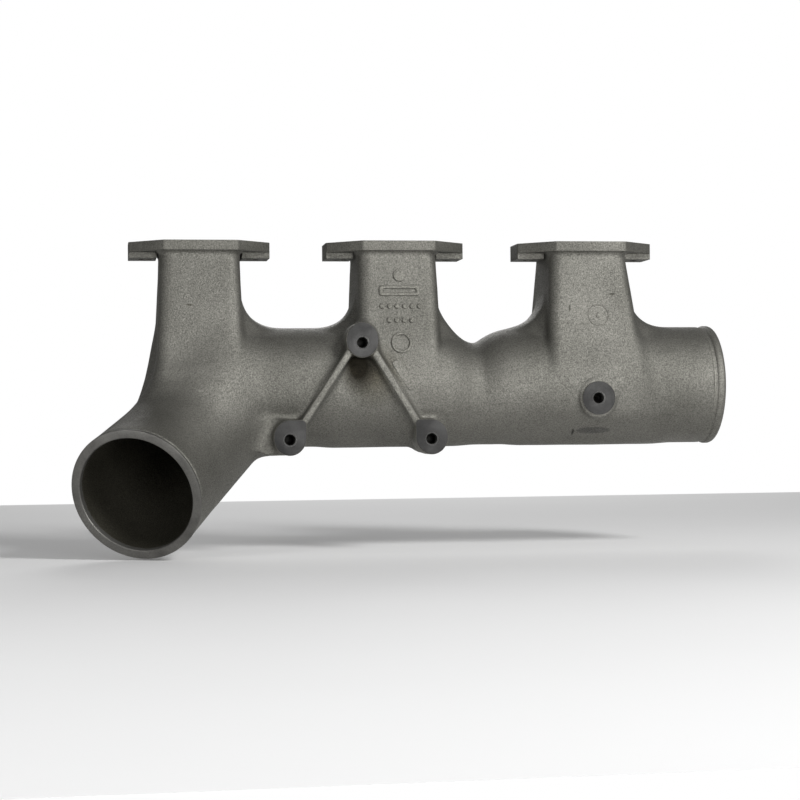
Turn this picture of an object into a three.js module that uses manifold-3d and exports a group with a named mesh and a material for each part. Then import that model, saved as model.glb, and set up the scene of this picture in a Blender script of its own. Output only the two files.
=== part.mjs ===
// Cast engine manifold: three flanged ports, a common barrel, a hose spigot at one end
// and an open elbow at the other, with a three-boss bracket pad on the front.
// Units are millimetres. The origin is the centre of the middle port, on the gasket plane.
// +X runs toward the spigot, +Y away from the bracket side and +Z out of the gasket faces.
// The real part is one casting. It is modelled in its natural sections, and every section
// stops JOINT_GAP short of its neighbour.

import * as THREE from "three";
import { mergeVertices } from "three/addons/utils/BufferGeometryUtils.js";
import Module from "manifold-3d";

const wasm = await Module();
wasm.setup();

// ---------------------------------------------------------------- driving dimensions

const JOINT_GAP = 0.3;
const WALL = 6;

const FLANGE = {
  thickness: 7.7,
  halfLength: 55.2,
  endHalf: 14, // half of each flat end
  frontHalf: 28.5, // half of the straight front and back edges
  halfDepth: 37,
  cornerRadius: 3,
  boltSpacing: 84,
  boltRadius: 5.5,
  padHeight: 4.7, // the extra thickness of the screw pads under both ends
};

// One entry per port. draft is how far each side leans out by the barrel's axis, and foot is
// the fillet radius where it meets the barrel, left side first. rounded is 1 where the runner
// turns into the barrel's round end.
const PORTS = [
  { x: -155, draft: [9, 1], foot: [2, 19], rounded: 1 },
  { x: 0, draft: [4, 2], foot: [21, 22], rounded: 0 },
  { x: 155, draft: [11, 12], foot: [21, 25], rounded: 0 },
];

const RUNNER = {
  halfWidth: 31, // along the barrel
  halfDepth: 31,
  cornerRadius: 9.5,
  wall: 5,
  steps: 10,
};

const BARREL = {
  axisY: -6.4,
  axisZ: -114.3,
  radius: 47.1,
  leftEndX: -140,
  rightEndX: 260.3,
  capSteps: 6,
};

// The narrow place between the second and third ports, hollowed from above.
const WAIST = { x: 63.3, radius: 40.9, drop: 6.2, reach: 32, steps: 4 };

const SPIGOT = { beadWidth: 7, beadHeight: 0.8 };

const ELBOW = {
  start: [-124.2, -6.6, -114.7],
  startPull: [-34, -12, -35], // how the centreline leaves the barrel
  mouth: [-207.8, -98, -194.4],
  mouthNormal: [-0.39, -0.86, -0.33],
  endPull: 52, // how far it runs straight behind the mouth
  startRadius: 46.6,
  mouthRadius: 51.1,
  wall: 6.8,
  flare: 1.2, // how late along the elbow the widening comes
  rimLength: 8,
  cutAt: 0.38, // where along the centreline the elbow section begins
  steps: 12,
};

const PAD_PLANE = -60; // the machined plane that the three bracket bosses share
const BOSS = { radius: 12.8, drill: 4.25, drillDepth: 16, chamfer: 1.2 };

// lift is how far the boss stands above its hole. corner is the side of its square corner.
const BRACKET_BOSSES = [
  { name: "bracket_boss_top", x: -32.8, z: -81, lift: 2.1, corner: 0 },
  { name: "bracket_boss_left", x: -89.5, z: -155.4, lift: 0.9, corner: 1 },
  { name: "bracket_boss_right", x: 20.6, z: -155.7, lift: 1.6, corner: -1 },
];

// The ribs run from the top boss down to the lower bosses. The two insets say where a rib
// starts beside the top boss and where it ends at the lower boss's square corner.
const RIB = { width: 5.2, setback: 1.6, startInset: [10, -4], endInset: [9, 9] };
const PROBE_BOSS = { x: 154.6, z: -125.2, radius: 13.4, plane: -57.4, drill: 4.5, seat: 30 };

// Where the casting is divided into sections.
const CUTS = {
  runnerFoot: -60,
  runnerReach: 70,
  x: [-104, -50, 40, 98, 214, BARREL.rightEndX - SPIGOT.beadWidth - 1],
};

const COLUMN_BACK = -12; // inside the casting, where the bosses and ribs end
const RING_SEGMENTS = 28;
const CORNER_SEGMENTS = 3;
const HOLE_SEGMENTS = 20;
const FAR = 600; // larger than the whole part

// ---------------------------------------------------------------- solids and booleans

function toSolid(geometry) {
  const bare = geometry.clone();
  bare.deleteAttribute("normal");
  bare.deleteAttribute("uv");
  const merged = mergeVertices(bare, 1e-4);
  return new wasm.Manifold(
    new wasm.Mesh({
      numProp: 3,
      vertProperties: new Float32Array(merged.attributes.position.array),
      triVerts: new Uint32Array(merged.index.array),
    }),
  );
}

function toGeometry(solid) {
  const mesh = solid.getMesh();
  const geometry = new THREE.BufferGeometry();
  geometry.setAttribute("position", new THREE.BufferAttribute(mesh.vertProperties, 3));
  geometry.setIndex(new THREE.BufferAttribute(mesh.triVerts, 1));
  geometry.computeVertexNormals();
  return geometry;
}

function union(solids) {
  return solids.reduce((whole, next) => whole.add(next));
}

function placedSolid(geometry, position, rotation = new THREE.Euler()) {
  const matrix = new THREE.Matrix4();
  const turn = new THREE.Quaternion().setFromEuler(rotation);
  matrix.compose(new THREE.Vector3(...position), turn, new THREE.Vector3(1, 1, 1));
  return toSolid(geometry.clone().applyMatrix4(matrix));
}

// A box given by its lowest and highest corners.
function boxBetween(low, high) {
  const size = high.map((value, i) => value - low[i]);
  const centre = high.map((value, i) => (value + low[i]) / 2);
  return placedSolid(new THREE.BoxGeometry(...size), centre);
}

// A cylinder along Y, from its front end to its back end.
function cylinderAlongY(x, z, radiusFront, radiusBack, front, back, segments = HOLE_SEGMENTS) {
  const geometry = new THREE.CylinderGeometry(radiusBack, radiusFront, back - front, segments);
  return placedSolid(geometry, [x, (front + back) / 2, z]);
}

// Everything on one side of a plane, as a large box whose face is the plane.
function halfSpace(point, normal) {
  const axis = normal.clone().normalize();
  const turn = new THREE.Quaternion().setFromUnitVectors(new THREE.Vector3(0, 0, 1), axis);
  const centre = point.clone().addScaledVector(axis, FAR / 2);
  const matrix = new THREE.Matrix4().compose(centre, turn, new THREE.Vector3(1, 1, 1));
  return toSolid(new THREE.BoxGeometry(FAR, FAR, FAR).applyMatrix4(matrix));
}

function warp(geometry, move) {
  const place = geometry.attributes.position;
  const point = new THREE.Vector3();
  for (let i = 0; i < place.count; i += 1) {
    point.fromBufferAttribute(place, i);
    move(point);
    place.setXYZ(i, point.x, point.y, point.z);
  }
  return geometry;
}

const smooth = (t) => t * t * (3 - 2 * t);
const clamp01 = (t) => Math.min(1, Math.max(0, t));

// ---------------------------------------------------------------- barrel

// How far the barrel has narrowed at x: 1 at the waist and 0 away from it.
function waistShare(x) {
  return 1 - smooth(clamp01(Math.abs(x - WAIST.x) / WAIST.reach));
}

function barrelRadius(x) {
  return BARREL.radius + (WAIST.radius - BARREL.radius) * waistShare(x);
}

function barrelCentreZ(x) {
  return BARREL.axisZ - WAIST.drop * waistShare(x);
}

// The barrel as a solid rod, rounded at its left end. inset shrinks it to make the bore.
function barrelRod(inset, rightEnd) {
  const profile = [];
  const capRadius = BARREL.radius - inset;
  for (let i = 0; i <= BARREL.capSteps; i += 1) {
    const angle = (i / BARREL.capSteps) * (Math.PI / 2);
    const x = BARREL.leftEndX - capRadius * Math.cos(angle);
    profile.push(new THREE.Vector2(i === 0 ? 0 : capRadius * Math.sin(angle), x));
  }
  for (let i = -WAIST.steps; i <= WAIST.steps; i += 1) {
    const x = WAIST.x + (i / WAIST.steps) * WAIST.reach;
    profile.push(new THREE.Vector2(barrelRadius(x) - inset, x));
  }
  profile.push(new THREE.Vector2(BARREL.radius - inset, rightEnd));
  profile.push(new THREE.Vector2(0, rightEnd));
  const lathe = new THREE.LatheGeometry(profile, RING_SEGMENTS);
  lathe.rotateZ(-Math.PI / 2);
  lathe.translate(0, BARREL.axisY, 0);
  return warp(lathe, (p) => {
    p.z += barrelCentreZ(p.x);
  });
}

function spigotBead() {
  const radius = BARREL.radius + SPIGOT.beadHeight;
  const bead = new THREE.CylinderGeometry(radius, radius, SPIGOT.beadWidth, RING_SEGMENTS);
  const x = BARREL.rightEndX - SPIGOT.beadWidth / 2;
  const lying = new THREE.Euler(0, 0, Math.PI / 2);
  return placedSolid(bead, [x, BARREL.axisY, BARREL.axisZ], lying);
}

// ---------------------------------------------------------------- runners and flanges

// A closed outline with every corner rounded off.
function roundedPolygon(corners, radius) {
  const shape = new THREE.Shape();
  corners.forEach((corner, i) => {
    const here = new THREE.Vector2(...corner);
    const before = new THREE.Vector2(...corners[(i + corners.length - 1) % corners.length]);
    const after = new THREE.Vector2(...corners[(i + 1) % corners.length]);
    const enter = here.clone().add(before.sub(here).setLength(radius));
    const leave = here.clone().add(after.sub(here).setLength(radius));
    if (i === 0) {
      shape.moveTo(enter.x, enter.y);
    } else {
      shape.lineTo(enter.x, enter.y);
    }
    shape.quadraticCurveTo(here.x, here.y, leave.x, leave.y);
  });
  shape.closePath();
  return shape;
}

// A rectangle that also has a point halfway along each end, so that the ends can be bent.
function rectangleCorners(halfWidth, halfDepth) {
  return [
    [-halfWidth, -halfDepth], [halfWidth, -halfDepth], [halfWidth, 0],
    [halfWidth, halfDepth], [-halfWidth, halfDepth], [-halfWidth, 0],
  ];
}

// How far a foot fillet has spread sideways at this height. It follows the barrel's round
// top, and fades out toward the barrel's front and back.
function filletSpread(radius, y, z) {
  const across = clamp01(Math.abs(y - BARREL.axisY) / BARREL.radius);
  const surface = BARREL.axisZ + BARREL.radius * Math.sqrt(1 - across * across);
  const above = clamp01((z - surface) / radius);
  const below = clamp01((surface - z) / radius);
  const spread = radius * (1 - Math.sqrt(1 - (1 - above) * (1 - above)));
  return spread * (1 - smooth(below)) * (1 - across * across);
}

// A runner widens from the flange down to the barrel, where its front and back faces meet
// the barrel's sides. inset shrinks it to make the port passage.
function runnerRod(port, inset, top) {
  const halfWidth = RUNNER.halfWidth - inset;
  const halfDepth = RUNNER.halfDepth - inset;
  const shape = roundedPolygon(
    rectangleCorners(halfWidth, halfDepth), RUNNER.cornerRadius - inset * 0.6,
  );
  const rod = new THREE.ExtrudeGeometry(shape, {
    depth: top - BARREL.axisZ,
    steps: RUNNER.steps,
    bevelEnabled: false,
    curveSegments: CORNER_SEGMENTS,
  });
  warp(rod, (p) => {
    const z = BARREL.axisZ + p.z;
    const down = clamp01((-FLANGE.thickness - z) / (-FLANGE.thickness - BARREL.axisZ));
    const side = p.x < 0 ? 0 : 1;
    const sign = side === 0 ? -1 : 1;
    const across = p.x / halfWidth;
    const deep = p.y / halfDepth;
    const halfHere = halfDepth + (BARREL.radius - inset - halfDepth) * down;
    const round = Math.max(Math.abs(across), Math.abs(deep)) / Math.hypot(across, deep);
    const shrink = 1 - port.rounded * down * down * (1 - round);
    const y = BARREL.axisY * down + deep * halfHere * shrink;
    const lean = sign * (port.draft[side] * down * Math.abs(across) + filletSpread(port.foot[side], y, z));
    p.set(port.x + p.x * shrink + lean, y, z);
  });
  return rod;
}

function flangeOutline() {
  const f = FLANGE;
  return roundedPolygon(
    [
      [-f.frontHalf, -f.halfDepth], [f.frontHalf, -f.halfDepth],
      [f.halfLength, -f.endHalf], [f.halfLength, f.endHalf],
      [f.frontHalf, f.halfDepth], [-f.frontHalf, f.halfDepth],
      [-f.halfLength, f.endHalf], [-f.halfLength, -f.endHalf],
    ],
    f.cornerRadius,
  );
}

// A flat outline as an upright prism between two heights.
function prism(shape, x, low, high) {
  const options = { depth: high - low, bevelEnabled: false, curveSegments: CORNER_SEGMENTS };
  return placedSolid(new THREE.ExtrudeGeometry(shape, options), [x, 0, low]);
}

// The plate, with a thicker screw pad under each end that stops beside the runner.
function portFlange(port) {
  const f = FLANGE;
  const full = f.thickness + f.padHeight;
  const plate = prism(flangeOutline(), port.x, -f.thickness, 0);
  const padStart = RUNNER.halfWidth + RUNNER.cornerRadius / 4;
  const pads = [-1, 1].map((side) => {
    const near = port.x + side * padStart;
    const far = port.x + side * f.halfLength * 2;
    return boxBetween([Math.min(near, far), -f.endHalf, -full], [Math.max(near, far), f.endHalf, 0]);
  });
  const thick = prism(flangeOutline(), port.x, -full, 0).intersect(union(pads));
  const passage = prism(
    roundedPolygon(
      rectangleCorners(RUNNER.halfWidth - RUNNER.wall, RUNNER.halfDepth - RUNNER.wall),
      RUNNER.cornerRadius - RUNNER.wall * 0.6,
    ),
    port.x,
    -2 * full,
    full,
  );
  const upright = new THREE.Euler(Math.PI / 2, 0, 0);
  const bolts = [-1, 1].map((side) => {
    const hole = new THREE.CylinderGeometry(f.boltRadius, f.boltRadius, full * 2, HOLE_SEGMENTS);
    return placedSolid(hole, [port.x + (side * f.boltSpacing) / 2, 0, -full / 2], upright);
  });
  return plate.add(thick).subtract(union([passage, ...bolts]));
}

// ---------------------------------------------------------------- elbow

const mouth = new THREE.Vector3(...ELBOW.mouth);
const mouthNormal = new THREE.Vector3(...ELBOW.mouthNormal).normalize();
const elbowStart = new THREE.Vector3(...ELBOW.start);
const elbowLine = new THREE.CubicBezierCurve3(
  elbowStart,
  elbowStart.clone().add(new THREE.Vector3(...ELBOW.startPull)),
  mouth.clone().addScaledVector(mouthNormal, -ELBOW.endPull),
  mouth,
);

// A rod along the elbow's centreline. It widens toward the mouth, and overrun carries it on
// past the mouth.
function elbowRod(inset, overrun) {
  const line = new THREE.CurvePath();
  line.add(elbowLine);
  if (overrun > 0) {
    line.add(new THREE.LineCurve3(mouth, mouth.clone().addScaledVector(mouthNormal, overrun)));
  }
  const ring = new THREE.Shape();
  ring.absarc(0, 0, ELBOW.startRadius - inset, 0, Math.PI * 2);
  const rod = new THREE.ExtrudeGeometry(ring, {
    steps: ELBOW.steps,
    bevelEnabled: false,
    curveSegments: RING_SEGMENTS / 2,
    extrudePath: line,
  });
  const stations = line.getSpacedPoints(ELBOW.steps);
  const growth = (ELBOW.mouthRadius - inset) / (ELBOW.startRadius - inset) - 1;
  warp(rod, (p) => {
    const spans = stations.map((station) => station.distanceTo(p));
    const nearest = spans.indexOf(Math.min(...spans));
    const centre = stations[nearest];
    const share = Math.pow(nearest / ELBOW.steps, ELBOW.flare);
    p.sub(centre).multiplyScalar(1 + growth * share).add(centre);
  });
  return rod;
}

// ---------------------------------------------------------------- the whole casting

// The outside of the casting below the flanges, moved forward by any given amount.
function castingOutside(grow, forward) {
  const runners = PORTS.map((port) => runnerRod(port, -grow, -FLANGE.thickness - JOINT_GAP));
  const rods = [barrelRod(-grow, BARREL.rightEndX), elbowRod(-grow, 0), ...runners];
  return union(rods.map((rod) => toSolid(rod.translate(0, -forward, 0))));
}

function castingBore() {
  const runners = PORTS.map((port) => runnerRod(port, RUNNER.wall, 1));
  const rods = [barrelRod(WALL, BARREL.rightEndX + 1), elbowRod(ELBOW.wall, 1), ...runners];
  return union(rods.map(toSolid));
}

// A round boss. One with a corner has it square, at the top, on the side that its rib joins.
function bossOutline(boss, radius) {
  const shape = new THREE.Shape();
  const z = boss.z + boss.lift;
  if (boss.corner === 0) {
    shape.absarc(boss.x, z, radius, 0, Math.PI * 2);
    return shape;
  }
  shape.moveTo(boss.x + boss.corner * radius, z);
  shape.lineTo(boss.x + boss.corner * radius, z + radius);
  shape.lineTo(boss.x, z + radius);
  const end = boss.corner > 0 ? Math.PI * 2 : -Math.PI;
  shape.absarc(boss.x, z, radius, Math.PI / 2, end, boss.corner < 0);
  return shape;
}

// A shape drawn in X and Z, as a solid from the front plane back into the casting.
function columnAlongY(shape, front, back) {
  const column = new THREE.ExtrudeGeometry(shape, {
    depth: back - front,
    bevelEnabled: false,
    curveSegments: HOLE_SEGMENTS / 2,
  });
  column.applyMatrix4(new THREE.Matrix4().set(1, 0, 0, 0, 0, 0, -1, back, 0, 1, 0, 0, 0, 0, 0, 1));
  return toSolid(column);
}

function drill(boss, plane, radius, depth) {
  const over = 0.5;
  const lip = radius + BOSS.chamfer + over;
  const countersink = cylinderAlongY(boss.x, boss.z, lip, radius, plane - over, plane + BOSS.chamfer);
  return countersink.add(cylinderAlongY(boss.x, boss.z, radius, radius, plane - over, plane + depth));
}

function bracketBoss(boss, outsideGrown) {
  const column = columnAlongY(bossOutline(boss, BOSS.radius), PAD_PLANE, COLUMN_BACK);
  const hole = drill(boss, PAD_PLANE, BOSS.drill, BOSS.drillDepth);
  return column.subtract(outsideGrown).subtract(hole);
}

function bracketRib(from, to, outsideGrown, bossesGrown) {
  const side = Math.sign(to.x - from.x);
  const start = new THREE.Vector2(from.x + side * RIB.startInset[0], from.z + RIB.startInset[1]);
  const end = new THREE.Vector2(to.x - side * RIB.endInset[0], to.z + RIB.endInset[1]);
  const along = end.clone().sub(start);
  const across = new THREE.Vector2(-along.y, along.x).setLength(RIB.width / 2);
  const corners = [
    start.clone().add(across), start.clone().sub(across), end.clone().sub(across), end.clone().add(across),
  ];
  const plate = columnAlongY(new THREE.Shape(corners), PAD_PLANE + RIB.setback, COLUMN_BACK);
  return plate.subtract(outsideGrown).subtract(bossesGrown);
}

// ---------------------------------------------------------------- sections

const outside = castingOutside(0, 0);

// The casting with the joint gap added, which is cut from the pieces that stand on its front.
const outsideGrown = union([outside, castingOutside(JOINT_GAP, 0), castingOutside(0, JOINT_GAP)]);
const bore = castingBore();
const probe = PROBE_BOSS;
const probeDrill = drill(probe, probe.plane, probe.drill, probe.seat);
const casting = outside.subtract(bore).subtract(probeDrill);

function slab(lowX, highX, lowZ, highZ) {
  return boxBetween([lowX, -FAR / 2, lowZ], [highX, FAR / 2, highZ]);
}

const sections = {};
const flanges = PORTS.map(portFlange);
const padClearance = union(flanges.map((flange, i) => {
  const { halfLength, thickness, padHeight } = FLANGE;
  const low = -thickness - padHeight - JOINT_GAP;
  const x = PORTS[i].x;
  const inner = RUNNER.halfWidth + RUNNER.cornerRadius / 4 - JOINT_GAP;
  return slab(x - halfLength, x - inner, low, 0).add(slab(x + inner, x + halfLength, low, 0));
}));
PORTS.forEach((port, i) => {
  const { runnerFoot, runnerReach } = CUTS;
  const region = slab(port.x - runnerReach, port.x + runnerReach, runnerFoot + JOINT_GAP, 0);
  sections[`port_flange_${i + 1}`] = flanges[i];
  sections[`runner_${i + 1}`] = casting.intersect(region).subtract(padClearance);
});

const elbowCut = elbowLine.getPointAt(ELBOW.cutAt);
const elbowDirection = elbowLine.getTangentAt(ELBOW.cutAt);
const rimCut = mouth.clone().addScaledVector(mouthNormal, -ELBOW.rimLength);
const belowRunners = slab(-FAR, FAR, -FAR / 2, CUTS.runnerFoot);
const beyondElbowCut = halfSpace(elbowCut, elbowDirection).intersect(belowRunners);
const beyondElbowGap = halfSpace(
  elbowCut.clone().addScaledVector(elbowDirection, -JOINT_GAP), elbowDirection,
);
const beyondRimCut = halfSpace(rimCut, mouthNormal);
const beyondRimGap = halfSpace(rimCut.clone().addScaledVector(mouthNormal, -JOINT_GAP), mouthNormal);
sections.elbow_rim = casting.intersect(beyondRimCut);
sections.elbow_tube = casting.intersect(beyondElbowCut).subtract(beyondRimGap);

const bodyNames = [
  "barrel_end", "barrel_1", "barrel_junction_2", "barrel_2", "barrel_junction_3", "spigot_tube",
];
const bodyStarts = [-FAR / 2, ...CUTS.x];
bodyNames.forEach((name, i) => {
  const region = slab(bodyStarts[i], CUTS.x[i] - JOINT_GAP, -FAR / 2, CUTS.runnerFoot);
  const piece = casting.intersect(region);
  sections[name] = i < 2 ? piece.subtract(beyondElbowGap) : piece;
});
const beadStart = CUTS.x[CUTS.x.length - 1];
const lipRegion = slab(beadStart, FAR / 2, -FAR / 2, CUTS.runnerFoot);
sections.spigot_rim = casting.add(spigotBead().subtract(bore)).intersect(lipRegion);

const bossesGrown = union(
  BRACKET_BOSSES.map((boss) => (
    columnAlongY(bossOutline(boss, BOSS.radius + JOINT_GAP), PAD_PLANE - 1, COLUMN_BACK + 1)
  )),
);
for (const boss of BRACKET_BOSSES) {
  sections[boss.name] = bracketBoss(boss, outsideGrown);
}
const [topBoss, leftBoss, rightBoss] = BRACKET_BOSSES;
sections.bracket_rib_left = bracketRib(topBoss, leftBoss, outsideGrown, bossesGrown);
sections.bracket_rib_right = bracketRib(topBoss, rightBoss, outsideGrown, bossesGrown);
sections.probe_boss = cylinderAlongY(
  probe.x, probe.z, probe.radius, probe.radius, probe.plane, COLUMN_BACK, RING_SEGMENTS,
).subtract(outsideGrown).subtract(probeDrill);

// ---------------------------------------------------------------- the model

const castGrey = { color: 0x6f6e69, roughness: 0.72, metalness: 0.6 };
const machinedGrey = { color: 0x7b7d84, roughness: 0.42, metalness: 0.85 };
const machinedNames = /flange|boss|rim/;

const manifold = new THREE.Group();
manifold.name = "exhaust_manifold";
for (const [name, solid] of Object.entries(sections)) {
  const finish = machinedNames.test(name) ? machinedGrey : castGrey;
  const mesh = new THREE.Mesh(toGeometry(solid), new THREE.MeshStandardMaterial(finish));
  mesh.name = name;
  manifold.add(mesh);
}

export default manifold;
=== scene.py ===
import math

import bmesh
import bpy
import numpy as np
from mathutils import Matrix, Vector
from mathutils.bvhtree import BVHTree


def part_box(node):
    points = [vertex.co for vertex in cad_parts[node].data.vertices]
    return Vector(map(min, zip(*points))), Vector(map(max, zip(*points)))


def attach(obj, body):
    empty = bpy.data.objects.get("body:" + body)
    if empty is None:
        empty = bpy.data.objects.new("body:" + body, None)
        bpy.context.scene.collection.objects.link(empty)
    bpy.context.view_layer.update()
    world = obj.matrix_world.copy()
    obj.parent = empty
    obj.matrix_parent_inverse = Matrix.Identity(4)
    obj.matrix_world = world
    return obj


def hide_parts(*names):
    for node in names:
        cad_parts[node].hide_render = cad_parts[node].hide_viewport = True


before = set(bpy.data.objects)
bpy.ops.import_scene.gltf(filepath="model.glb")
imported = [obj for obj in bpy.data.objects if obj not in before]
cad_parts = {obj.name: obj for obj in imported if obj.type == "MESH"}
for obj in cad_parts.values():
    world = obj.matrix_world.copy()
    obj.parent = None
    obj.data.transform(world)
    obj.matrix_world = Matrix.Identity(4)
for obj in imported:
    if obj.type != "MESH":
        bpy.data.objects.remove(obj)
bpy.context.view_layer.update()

MM = 0.001

# ------------------------------------------------------------------ sizes, in millimetres


def node_box(name):
    low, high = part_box(name)
    return np.array(low) / MM, np.array(high) / MM


def node_centre(name):
    low, high = node_box(name)
    return (low + high) / 2


spigot_low, spigot_high = node_box("spigot_tube")
AXIS_Y = (spigot_low[1] + spigot_high[1]) / 2
AXIS_Z = (spigot_low[2] + spigot_high[2]) / 2
RADIUS = (spigot_high[2] - spigot_low[2]) / 2
RIGHT_END = node_box("spigot_rim")[1][0]
PORT_X = [float(node_centre(f"port_flange_{i}")[0]) for i in (1, 2, 3)]
WALL = 6.0

LEFT_END = -140.0
WAIST_X, WAIST_RADIUS, WAIST_DROP, WAIST_REACH = 63.3, 40.9, 6.2, 32.0
WAIST_ROUND = 3.0  # how gently the waist turns at its narrowest place
WAIST_FALL = 13.0  # how quickly it ends toward the spigot

FLANGE_THICK, FLANGE_FULL = 7.7, 12.4
FLANGE_LENGTH, FLANGE_END, FLANGE_FRONT, FLANGE_DEPTH = 55.2, 14.0, 28.5, 37.0
SCREW_X, SCREW_RADIUS = 42.0, 5.5

RUNNER_HALF, RUNNER_CORNER, RUNNER_WALL = 31.0, 9.5, 5.0
# For each runner: how far each side leans out by the barrel's axis, how far its flat front
# stands proud of the barrel there, how low that front reaches, and how softly the left and
# right edges of that front run into the barrel.
RUNNERS = [
    {"lean": (4.6, 1.0), "proud": 2.4, "low": -124.0, "fold": (10.0, 5.0)},
    {"lean": (4.0, 0.6), "proud": 2.8, "low": -140.0, "fold": (4.0, 3.5)},
    {"lean": (9.0, 9.0), "proud": 2.4, "low": -140.0, "fold": (3.5, 12.0)},
]
FOOT_BLEND = 33.0
NECK_FLARE = 4.0  # the fillet under a flange
BACK_TUCK = 4.0  # how far a runner's back stays inside the barrel's
PROUD_END, PROUD_FADE = -102.0, 0.2  # where a proud front starts to sink back, and how fast
POCKET_TOP, POCKET_BACK = -84.0, -25.0

ELBOW_START = np.array([-124.2, -6.6, -114.7])
ELBOW_PULL = np.array([-34.0, -12.0, -35.0])
MOUTH = np.array([-207.8, -98.0, -194.4])
MOUTH_NORMAL = np.array([-0.39, -0.86, -0.33])
MOUTH_NORMAL /= np.linalg.norm(MOUTH_NORMAL)
ELBOW_END_PULL = 52.0
ELBOW_FLARE = 1.2  # how late along the elbow the widening comes
ELBOW_RADIUS, MOUTH_RADIUS, ELBOW_WALL = 46.6, 51.1, 6.8

PAD_PLANE = -60.0
BOSS_RADIUS = 12.7
BOSS_TALL = 1.08
TAP_RADIUS = 4.2
COLUMN_BACK = -20.0  # inside the casting, where bosses and ribs end
BOSSES = {
    "bracket_boss_top": {"hole": (-32.8, -81.0), "lift": 2.1, "corner": 0},
    "bracket_boss_left": {"hole": (-89.5, -155.4), "lift": 1.5, "corner": 1},
    "bracket_boss_right": {"hole": (20.6, -155.7), "lift": 1.6, "corner": -1},
}
PROBE = {"hole": (154.6, -125.2), "radius": 13.4, "plane": -57.4}
LOWER_BOSSES = ("bracket_boss_left", "bracket_boss_right")
RIB_WIDTH, RIB_BACK, RIB_SETBACK = 5.8, -40.0, 1.6
WEB = {"at": (-104.0, -154.5), "radius": 12.0, "front": -48.0}  # joins the left boss to the elbow

# ------------------------------------------------------------------ the casting as a field


def smooth_min(a, b, k):
    h = np.clip(0.5 + 0.5 * (b - a) / k, 0, 1)
    return b + (a - b) * h - k * h * (1 - h)


def smooth_step(t):
    t = np.clip(t, 0, 1)
    return t * t * (3 - 2 * t)


def barrel_field(x, y, z, inset):
    aside = np.sqrt((x - WAIST_X) ** 2 + WAIST_ROUND**2) - WAIST_ROUND
    right = np.exp(-((aside / WAIST_FALL) ** 1.2))
    left = 1 - smooth_step(np.abs(x - WAIST_X) / WAIST_REACH)
    share = np.where(x > WAIST_X, right, left)
    radius = RADIUS - inset + (WAIST_RADIUS - RADIUS) * share
    centre_z = AXIS_Z - WAIST_DROP * share
    along = np.minimum(x - LEFT_END, 0)
    return np.sqrt(along**2 + (y - AXIS_Y) ** 2 + (z - centre_z) ** 2) - radius


def runner_field(x, y, z, port, inset):
    shape = RUNNERS[port]
    down = (-FLANGE_THICK - z) / (-FLANGE_THICK - AXIS_Z)
    lower = np.clip(down, 0, 1)
    flare = 0 if inset else NECK_FLARE
    rise = np.clip(1 - (-FLANGE_THICK - z) / NECK_FLARE, 0, 1)
    foot = flare * (1 - np.sqrt(1 - rise * rise))
    left = RUNNER_HALF + shape["lean"][0] * lower - inset + foot
    right = RUNNER_HALF + shape["lean"][1] * lower - inset + foot
    proud = 0 if inset else shape["proud"] - np.maximum(PROUD_END - z, 0) * PROUD_FADE
    front = -(RUNNER_HALF + foot) + (AXIS_Y - RADIUS - proud + RUNNER_HALF) * lower + inset
    back = (RUNNER_HALF + foot) + (AXIS_Y + RADIUS - BACK_TUCK - RUNNER_HALF) * lower - inset
    centre_x = PORT_X[port] + (right - left) / 2
    centre_y = (front + back) / 2
    corner = RUNNER_CORNER - 1.5 * lower - inset * 0.6
    qx = np.abs(x - centre_x) - (left + right) / 2 + corner
    qy = np.abs(y - centre_y) - (back - front) / 2 + corner
    outside = np.sqrt(np.maximum(qx, 0) ** 2 + np.maximum(qy, 0) ** 2)
    side = outside + np.minimum(np.maximum(qx, qy), 0) - corner
    low = AXIS_Z if inset else shape["low"]
    return -smooth_min(-side, z - low, 10.0)


def pocket_field(x, y, z):
    """The hollow between the two ribs, where the middle runner's front leaves off."""
    gap = np.maximum(z - POCKET_TOP, y - POCKET_BACK)
    for name, turn in zip(LOWER_BOSSES, (1, -1)):
        start, end = rib_line(name)
        along = (end - start) / np.linalg.norm(end - start)
        inside = (x - start[0]) * -along[1] * turn + (z - start[1]) * along[0] * turn
        gap = np.maximum(gap, 2.0 - inside)
    return gap


def elbow_line(count):
    t = np.linspace(0, 1, count)[:, None]
    p1 = ELBOW_START + ELBOW_PULL
    p2 = MOUTH - MOUTH_NORMAL * ELBOW_END_PULL
    line = (1 - t) ** 3 * ELBOW_START + 3 * (1 - t) ** 2 * t * p1
    line = line + 3 * (1 - t) * t * t * p2 + t**3 * MOUTH
    run = np.r_[0, np.cumsum(np.linalg.norm(np.diff(line, axis=0), axis=1))]
    share = (run / run[-1]) ** ELBOW_FLARE
    return line, ELBOW_RADIUS + (MOUTH_RADIUS - ELBOW_RADIUS) * share


def elbow_field(x, y, z):
    """Distance to the elbow's outside; its bore is this plus the wall."""
    line, radius = elbow_line(40)
    beyond = MOUTH + MOUTH_NORMAL * 30
    line = np.vstack([line, beyond])
    radius = np.r_[radius, radius[-1]]
    best = None
    for a, b, ra, rb in zip(line[:-1], line[1:], radius[:-1], radius[1:]):
        ab = (b - a).astype(np.float32)
        px, py, pz = x - np.float32(a[0]), y - np.float32(a[1]), z - np.float32(a[2])
        h = np.clip((px * ab[0] + py * ab[1] + pz * ab[2]) / np.float32(ab @ ab), 0, 1)
        gap = np.sqrt((px - ab[0] * h) ** 2 + (py - ab[1] * h) ** 2 + (pz - ab[2] * h) ** 2)
        gap -= np.float32(ra) + np.float32(rb - ra) * h
        best = gap if best is None else np.minimum(best, gap)
    return best


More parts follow.
